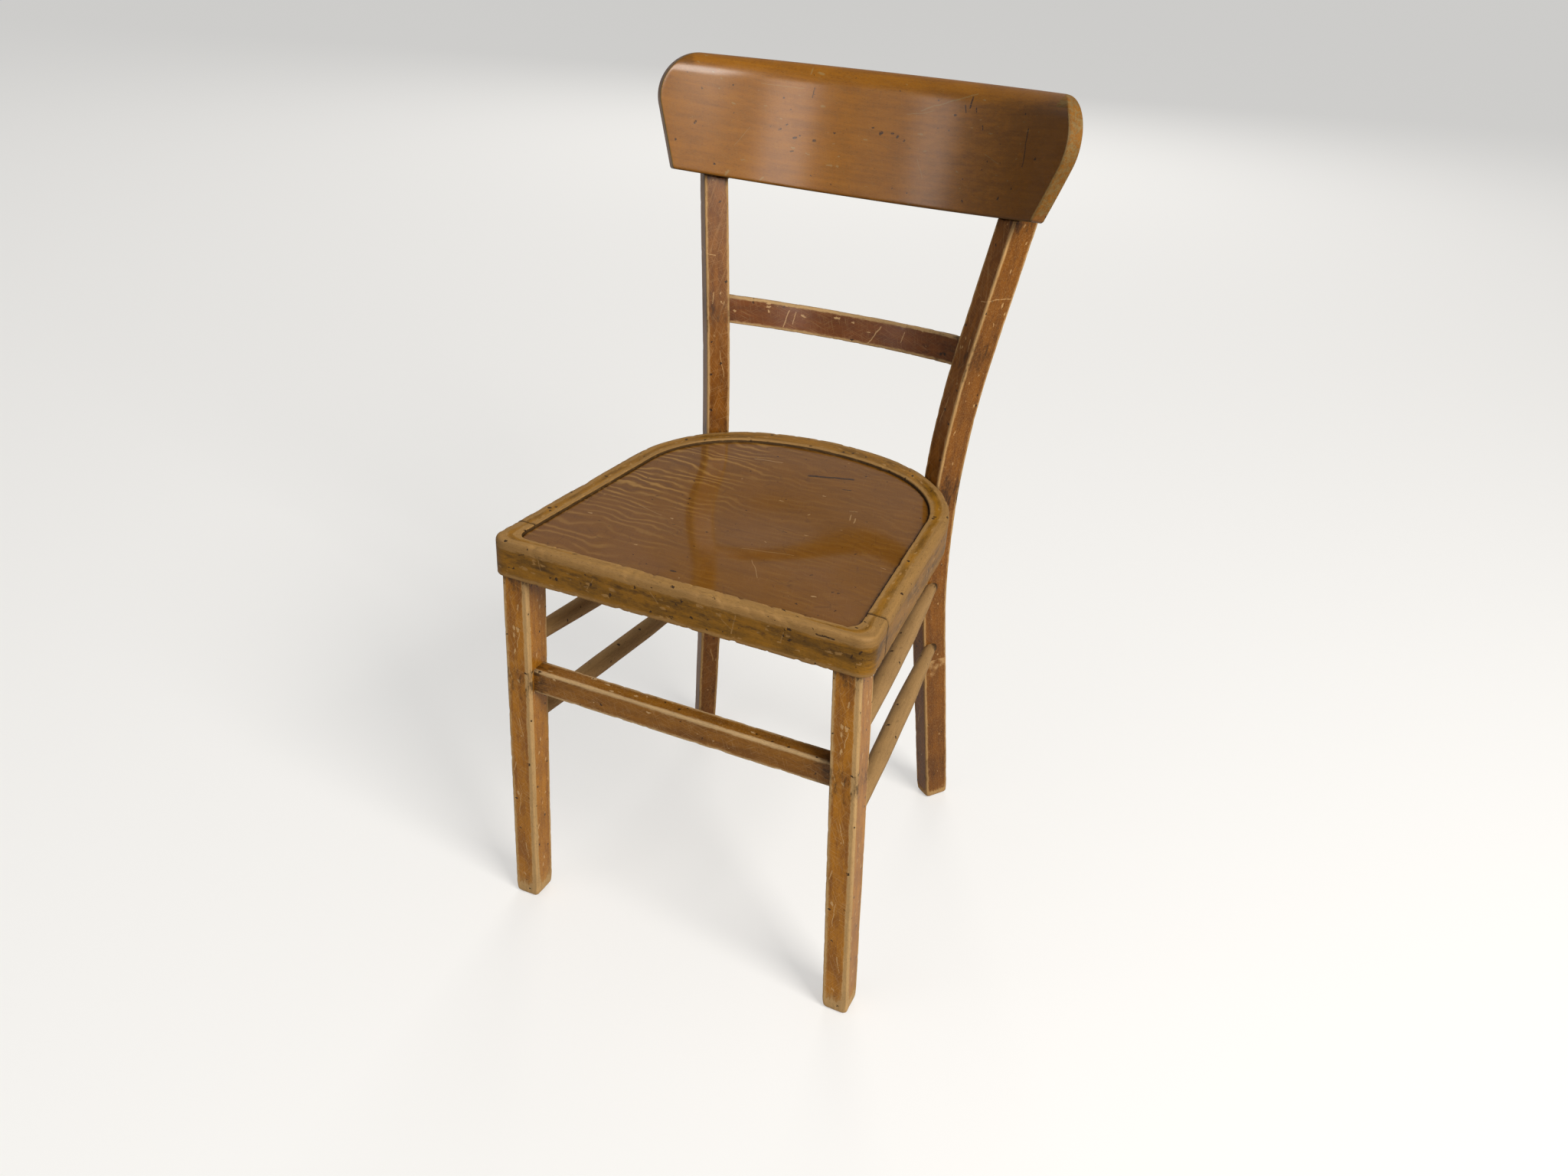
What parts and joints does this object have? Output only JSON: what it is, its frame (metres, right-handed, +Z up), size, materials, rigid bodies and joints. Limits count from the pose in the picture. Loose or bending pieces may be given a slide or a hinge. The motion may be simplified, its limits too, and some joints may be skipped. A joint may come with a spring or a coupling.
{
  "type": "wooden side chair",
  "caption": "Worn varnished bentwood side chair with a moulded plywood seat, swept back posts, a curved crest rail and round side stretchers.",
  "frame": {"origin": "on the floor, under the middle of the chair's width and depth", "axes": "+Z up, -Y towards the chair's front, +X to the right of a viewer who faces the chair's front"},
  "size_m": [0.4498, 0.4803, 0.8506],
  "materials": {
    "frame_varnish": "worn gloss varnish, edges rubbed to bare wood",
    "seat_veneer": "worn gloss varnish over wavy rotary-cut veneer, scratched",
    "leg_varnish": "patchy varnish, worn to bare wood at arrises and feet",
    "back_varnish": "satin varnish with dark specks and scratches",
    "stretcher_varnish": "varnish rubbed dull and greyish on top",
    "screw_steel": "dull, tarnished"
  },
  "bodies": {
    "root": {"front_rail": "frame_varnish", "seat_hoop": "frame_varnish", "seat_panel": "seat_veneer", "front_leg_left": "leg_varnish", "front_leg_right": "leg_varnish", "back_post_left": "leg_varnish", "back_post_right": "leg_varnish", "crest_rail": "back_varnish", "back_slat": "back_varnish", "front_stretcher": "stretcher_varnish", "side_stretcher_upper_left": "stretcher_varnish", "side_stretcher_upper_right": "stretcher_varnish", "side_stretcher_lower_left": "stretcher_varnish", "side_stretcher_lower_right": "stretcher_varnish", "hoop_screws": "screw_steel", "crest_screws": "screw_steel"}
  },
  "joints": []
}
